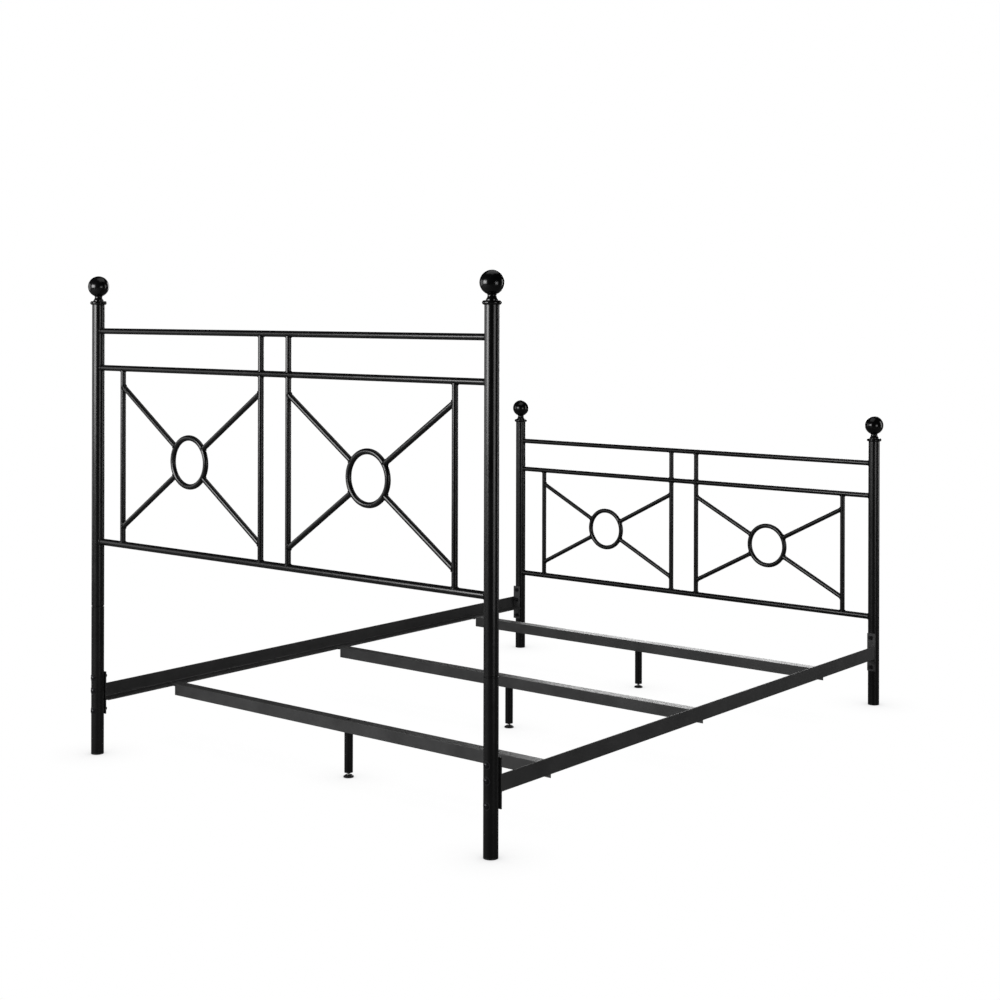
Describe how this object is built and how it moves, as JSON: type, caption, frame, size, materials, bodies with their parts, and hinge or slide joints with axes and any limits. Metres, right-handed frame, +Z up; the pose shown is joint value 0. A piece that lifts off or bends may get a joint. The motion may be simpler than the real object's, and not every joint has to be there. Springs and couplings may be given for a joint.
{
  "type": "metal bed frame",
  "caption": "Queen-size tubular metal bed frame with ball-topped posts, ring-and-brace headboard and footboard, angle side rails, cross slats and levelling centre legs.",
  "frame": {"origin": "on the floor under the middle of the bed, at the bottom centre of its box", "axes": "+X across the bed towards the sleeper's left, +Y along the bed towards the headboard, +Z up"},
  "size_m": [1.6024, 2.1454, 1.4496],
  "materials": {
    "powder_coat": "satin black powder coat",
    "finial_enamel": "gloss black enamel",
    "rail_paint": "satin black paint",
    "black_plastic": "matte black",
    "black_fastener": "black oxide",
    "zinc_steel": "zinc plated"
  },
  "bodies": {
    "frame": {"centre_leg_foot": "powder_coat", "centre_leg_head": "powder_coat", "centre_leg_middle": "powder_coat", "corner_bolts": "black_fastener", "corner_nuts": "black_fastener", "end_plates_left": "rail_paint", "end_plates_right": "rail_paint", "foot_bottom_rail": "powder_coat", "foot_braces_left": "powder_coat", "foot_braces_right": "powder_coat", "foot_finial_left": "finial_enamel", "foot_finial_right": "finial_enamel", "foot_inner_spindle_left": "powder_coat", "foot_inner_spindle_right": "powder_coat", "foot_outer_spindle_left": "powder_coat", "foot_outer_spindle_right": "powder_coat", "foot_post_left": "powder_coat", "foot_post_right": "powder_coat", "foot_ring_left": "powder_coat", "foot_ring_right": "powder_coat", "foot_second_rail": "powder_coat", "foot_struts": "powder_coat", "foot_top_rail": "powder_coat", "head_bottom_rail": "powder_coat", "head_braces_left": "powder_coat", "head_braces_right": "powder_coat", "head_finial_left": "finial_enamel", "head_finial_right": "finial_enamel", "head_inner_spindle_left": "powder_coat", "head_inner_spindle_right": "powder_coat", "head_leg_left": "powder_coat", "head_leg_right": "powder_coat", "head_outer_spindle_left": "powder_coat", "head_outer_spindle_right": "powder_coat", "head_post_left": "powder_coat", "head_post_right": "powder_coat", "head_ring_left": "powder_coat", "head_ring_right": "powder_coat", "head_second_rail": "powder_coat", "head_struts": "powder_coat", "head_top_rail": "powder_coat", "leg_bolts": "black_fastener", "leg_caps": "black_plastic", "leg_plugs": "zinc_steel", "leg_sleeves": "black_plastic", "leg_spigots": "powder_coat", "side_rail_left": "rail_paint", "side_rail_right": "rail_paint", "slat_bolts": "black_fastener", "slat_foot": "rail_paint", "slat_head": "rail_paint", "slat_middle": "rail_paint", "slat_nuts": "black_fastener"},
    "glide_head": {"glide_pad_head": "black_plastic", "glide_stem_head": "zinc_steel"},
    "glide_middle": {"glide_pad_middle": "black_plastic", "glide_stem_middle": "zinc_steel"},
    "glide_foot": {"glide_pad_foot": "black_plastic", "glide_stem_foot": "zinc_steel"}
  },
  "joints": [
    {"name": "glide_head_height", "type": "slide", "parent": "frame", "child": "glide_head", "axis": [0, 0, -1], "range_m": [-0.006, 0.02]},
    {"name": "glide_middle_height", "type": "slide", "parent": "frame", "child": "glide_middle", "axis": [0, 0, -1], "range_m": [-0.006, 0.02]},
    {"name": "glide_foot_height", "type": "slide", "parent": "frame", "child": "glide_foot", "axis": [0, 0, -1], "range_m": [-0.006, 0.02]}
  ]
}
